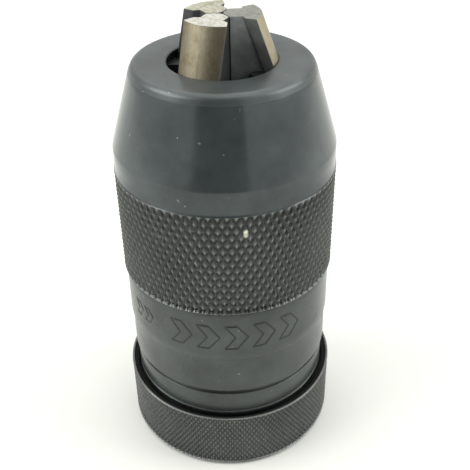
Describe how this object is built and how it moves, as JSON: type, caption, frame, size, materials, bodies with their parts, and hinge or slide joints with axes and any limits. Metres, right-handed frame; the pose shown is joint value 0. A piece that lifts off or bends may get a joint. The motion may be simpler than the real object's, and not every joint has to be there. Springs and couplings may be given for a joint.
{
  "type": "keyless drill chuck",
  "caption": "Self-tightening keyless drill chuck: knurled hood and rear ring, smooth shell, jaws in a conical nose moved by a screw, and a taper socket behind.",
  "frame": {"origin": "centre of the rear face, where the taper socket opens", "axes": "+Z along the spindle axis from the rear face towards the jaws; +X and +Y across it, with the first jaw 118 degrees clockwise from +X seen from the front"},
  "size_m": [0.0446, 0.0446, 0.0916],
  "materials": {
    "black_oxide": "satin black oxide on steel",
    "dark_steel": "black oxide on hardened steel, lightly oiled",
    "ground_steel": "ground tool steel",
    "screw_steel": "turned steel",
    "bearing_steel": "polished bearing steel",
    "spring_steel": "blued spring steel",
    "cage_brass": "stamped brass"
  },
  "bodies": {
    "chuck_body": {"body": "dark_steel", "rear_ring": "black_oxide", "front_race": "bearing_steel"},
    "bearing": {"ball_cage": "cage_brass", "bearing_balls": "bearing_steel"},
    "sleeve": {"hood": "black_oxide", "shell": "black_oxide", "rear_collar": "black_oxide", "rear_race": "bearing_steel", "jaw_guide": "dark_steel", "key_pin": "spring_steel", "wave_washer": "spring_steel"},
    "spindle": {"spindle": "screw_steel"},
    "jaw_1": {"jaw_1": "ground_steel"},
    "jaw_2": {"jaw_2": "ground_steel"},
    "jaw_3": {"jaw_3": "ground_steel"}
  },
  "joints": [
    {"name": "sleeve_turn", "type": "hinge", "parent": "chuck_body", "child": "sleeve", "pos_m": [0, 0, 0.04], "axis": [0, 0, 1], "range_deg": [0, 1828]},
    {"name": "bearing_roll", "type": "hinge", "parent": "chuck_body", "child": "bearing", "pos_m": [0, 0, 0.0255], "axis": [0, 0, 1], "range_deg": [0, 914.5]},
    {"name": "spindle_feed", "type": "slide", "parent": "sleeve", "child": "spindle", "axis": [0, 0, 1], "range_m": [-0.0127, 0]},
    {"name": "jaw_1_slide", "type": "slide", "parent": "sleeve", "child": "jaw_1", "axis": [0.1536, 0.2889, 0.9449], "range_m": [-0.01345, 0]},
    {"name": "jaw_2_slide", "type": "slide", "parent": "sleeve", "child": "jaw_2", "axis": [-0.327, -0.0114, 0.9449], "range_m": [-0.01345, 0]},
    {"name": "jaw_3_slide", "type": "slide", "parent": "sleeve", "child": "jaw_3", "axis": [0.1734, -0.2775, 0.9449], "range_m": [-0.01345, 0]}
  ],
  "couplings": [
    {"joint": "bearing_roll", "follows": "sleeve_turn", "ratio": 0.5},
    {"joint": "spindle_feed", "follows": "sleeve_turn", "m_per_rad": -0.00039789},
    {"joint": "jaw_1_slide", "follows": "sleeve_turn", "m_per_rad": -0.00042107},
    {"joint": "jaw_2_slide", "follows": "sleeve_turn", "m_per_rad": -0.00042107},
    {"joint": "jaw_3_slide", "follows": "sleeve_turn", "m_per_rad": -0.00042107}
  ]
}
